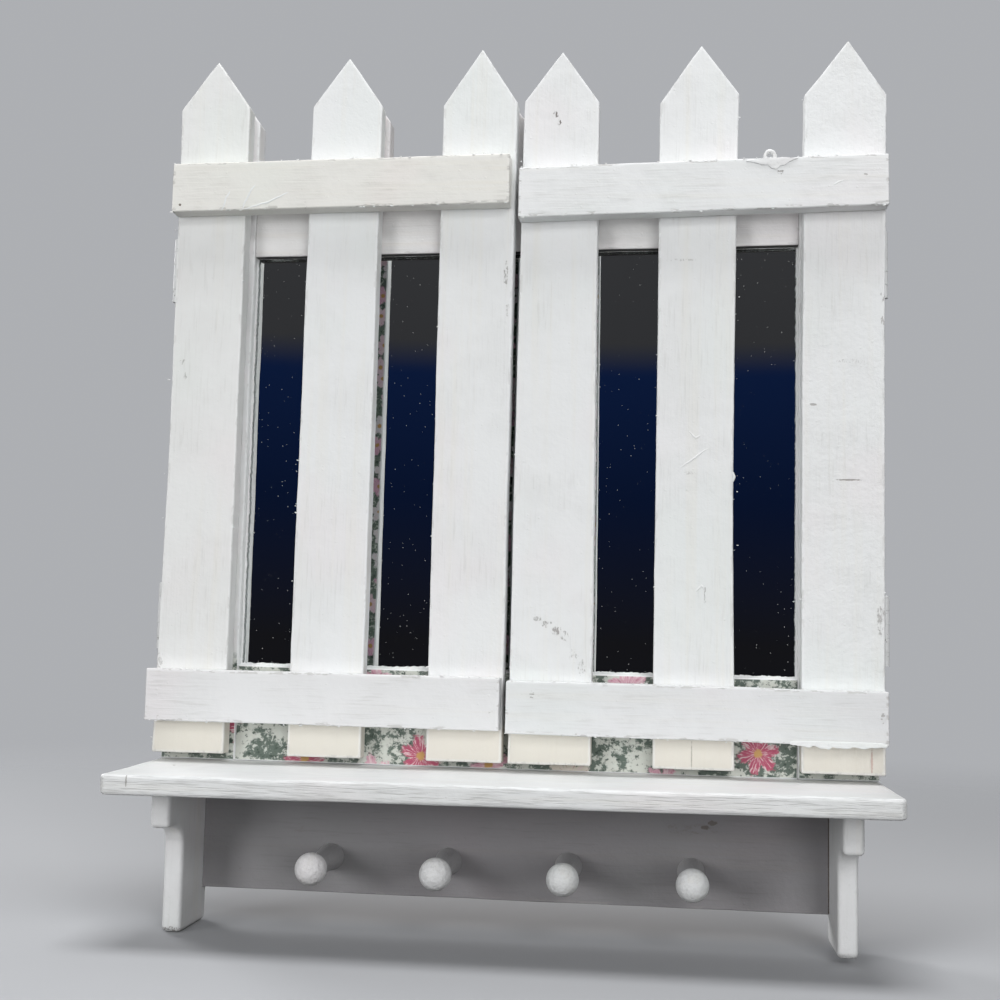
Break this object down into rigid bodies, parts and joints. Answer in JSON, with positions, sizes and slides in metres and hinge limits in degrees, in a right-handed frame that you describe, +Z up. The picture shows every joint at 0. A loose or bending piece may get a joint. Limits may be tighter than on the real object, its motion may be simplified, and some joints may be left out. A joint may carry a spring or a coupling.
{
  "type": "wall mirror with picket doors, shelf and pegs",
  "caption": "White-painted wooden wall mirror behind hinged picket-fence doors, standing on a bracketed shelf with a peg board and turned ball-head pegs below it.",
  "frame": {"origin": "centre of the peg board's back face, on the wall plane", "axes": "+X to the right as seen from the front, +Y into the wall, +Z up"},
  "size_m": [0.4144, 0.102, 0.5019],
  "materials": {
    "painted_wood": "brushed white paint",
    "mirror": "silvered glass",
    "hardboard": "bare hardboard",
    "bare_wood": "bare",
    "painted_hinge": "white paint over steel",
    "fastener_steel": "plain steel"
  },
  "bodies": {
    "frame": {"backing_board": "hardboard", "backing_brads": "fastener_steel", "bottom_board": "painted_wood", "frame_dowels": "bare_wood", "left_bracket": "painted_wood", "left_frame_hinge_screws": "fastener_steel", "left_lower_frame_leaf": "painted_hinge", "left_lower_hinge_pin": "painted_hinge", "left_stile": "painted_wood", "left_upper_frame_leaf": "painted_hinge", "left_upper_hinge_pin": "painted_hinge", "mirror_glass": "mirror", "peg_1": "painted_wood", "peg_2": "painted_wood", "peg_3": "painted_wood", "peg_4": "painted_wood", "peg_board": "painted_wood", "right_bracket": "painted_wood", "right_frame_hinge_screws": "fastener_steel", "right_lower_frame_leaf": "painted_hinge", "right_lower_hinge_pin": "painted_hinge", "right_stile": "painted_wood", "right_upper_frame_leaf": "painted_hinge", "right_upper_hinge_pin": "painted_hinge", "shelf": "painted_wood", "shelf_nails": "fastener_steel", "shelf_screws": "fastener_steel", "top_board": "painted_wood"},
    "left_door": {"left_bottom_rail": "painted_wood", "left_door_brads": "fastener_steel", "left_door_hinge_screws": "fastener_steel", "left_hinge_picket": "painted_wood", "left_lower_door_leaf": "painted_hinge", "left_meeting_picket": "painted_wood", "left_middle_picket": "painted_wood", "left_top_rail": "painted_wood", "left_upper_door_leaf": "painted_hinge"},
    "right_door": {"right_bottom_rail": "painted_wood", "right_door_brads": "fastener_steel", "right_door_hinge_screws": "fastener_steel", "right_hinge_picket": "painted_wood", "right_lower_door_leaf": "painted_hinge", "right_meeting_picket": "painted_wood", "right_middle_picket": "painted_wood", "right_top_rail": "painted_wood", "right_upper_door_leaf": "painted_hinge"}
  },
  "joints": [
    {"name": "left_door_hinge", "type": "hinge", "parent": "frame", "child": "left_door", "pos_m": [-0.2053, -0.0137, 0.225], "axis": [0, 0, -1], "range_deg": [0, 125]},
    {"name": "right_door_hinge", "type": "hinge", "parent": "frame", "child": "right_door", "pos_m": [0.2053, -0.0137, 0.225], "axis": [0, 0, 1], "range_deg": [0, 125]}
  ]
}
